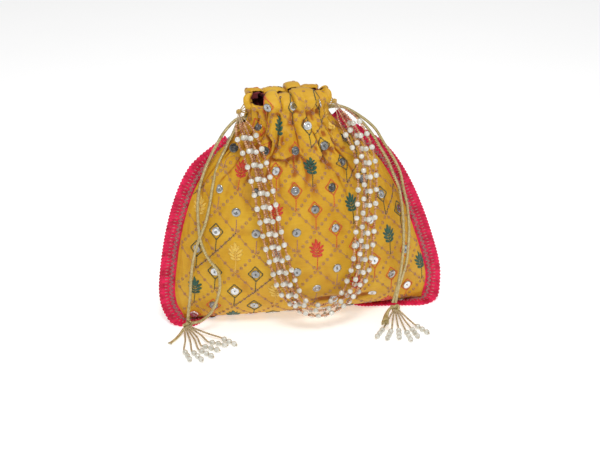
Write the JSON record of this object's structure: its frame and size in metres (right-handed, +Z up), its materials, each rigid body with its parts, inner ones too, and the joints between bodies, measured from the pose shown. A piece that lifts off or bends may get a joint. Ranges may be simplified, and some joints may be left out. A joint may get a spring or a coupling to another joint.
{
  "type": "potli bag",
  "caption": "Gathered drawstring pouch in embroidered silk, standing on its base, with lace side trim, tasselled cords and a bead strand handle that swings over the mouth.",
  "frame": {"origin": "middle of the bag's outline on the ground it stands on, without the cords", "axes": "+Z up, -Y out of the front, +X to the right seen from the front"},
  "size_m": [0.2652, 0.1317, 0.216],
  "materials": {
    "brocade_silk": "satin",
    "lining_cloth": "matte",
    "pink_lace": "matte",
    "gold_dori": "satin",
    "tassel_pearl": "pearl gloss",
    "handle_beads": "pearl gloss",
    "tab_thread": "matte",
    "mirror_disc": "mirror",
    "embroidery_thread": "satin"
  },
  "bodies": {
    "bag": {"front_panel": "brocade_silk", "back_panel": "brocade_silk", "lining": "lining_cloth", "lace_trim": "pink_lace", "drawstring_left": "gold_dori", "drawstring_right": "gold_dori", "knot_left": "gold_dori", "knot_right": "gold_dori", "cord_tail_left": "gold_dori", "cord_tail_right": "gold_dori", "tassel_left_1": "tassel_pearl", "tassel_left_2": "tassel_pearl", "tassel_left_3": "tassel_pearl", "tassel_left_4": "tassel_pearl", "tassel_left_5": "tassel_pearl", "tassel_left_6": "tassel_pearl", "tassel_right_1": "tassel_pearl", "tassel_right_2": "tassel_pearl", "tassel_right_3": "tassel_pearl", "tassel_right_4": "tassel_pearl", "tassel_right_5": "tassel_pearl", "tassel_right_6": "tassel_pearl", "handle_tab_left": "tab_thread", "handle_tab_right": "tab_thread"},
    "handle": {"handle_strand_1": "handle_beads", "handle_strand_2": "handle_beads", "handle_strand_3": "handle_beads", "handle_strand_4": "handle_beads", "handle_strand_5": "handle_beads"}
  },
  "joints": [
    {"name": "handle_swing", "type": "hinge", "parent": "bag", "child": "handle", "pos_m": [-0.01287, 0.00645, 0.2015], "axis": [-0.9994, 0, -0.0353], "range_deg": [0, 165]}
  ]
}
